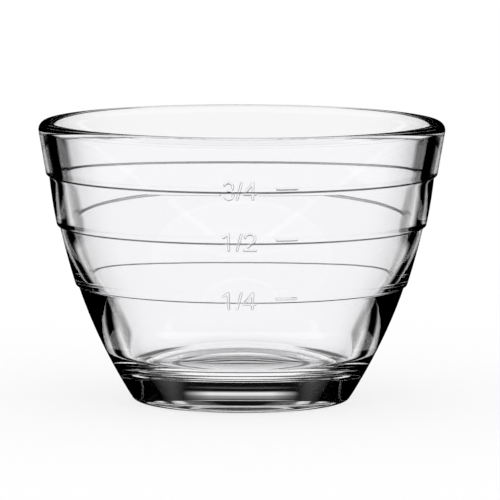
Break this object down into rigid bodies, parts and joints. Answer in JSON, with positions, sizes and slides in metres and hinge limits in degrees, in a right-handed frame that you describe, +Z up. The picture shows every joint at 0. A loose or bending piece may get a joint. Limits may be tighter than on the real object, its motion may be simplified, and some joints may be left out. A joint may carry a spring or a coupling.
{
  "type": "prep bowl",
  "caption": "Round clear glass prep bowl with a stepped wall whose ledges mark measured levels, a rounded rim and a thick base on a ring foot.",
  "frame": {"origin": "middle of the foot, on the plane that the bowl stands on", "axes": "+Z up along the bowl's axis, towards the rim; the graduation marks face -Y"},
  "size_m": [0.096, 0.096, 0.0662],
  "materials": {
    "glass": "clear polished pressed glass"
  },
  "bodies": {
    "root": {"bowl": "glass"}
  },
  "joints": []
}
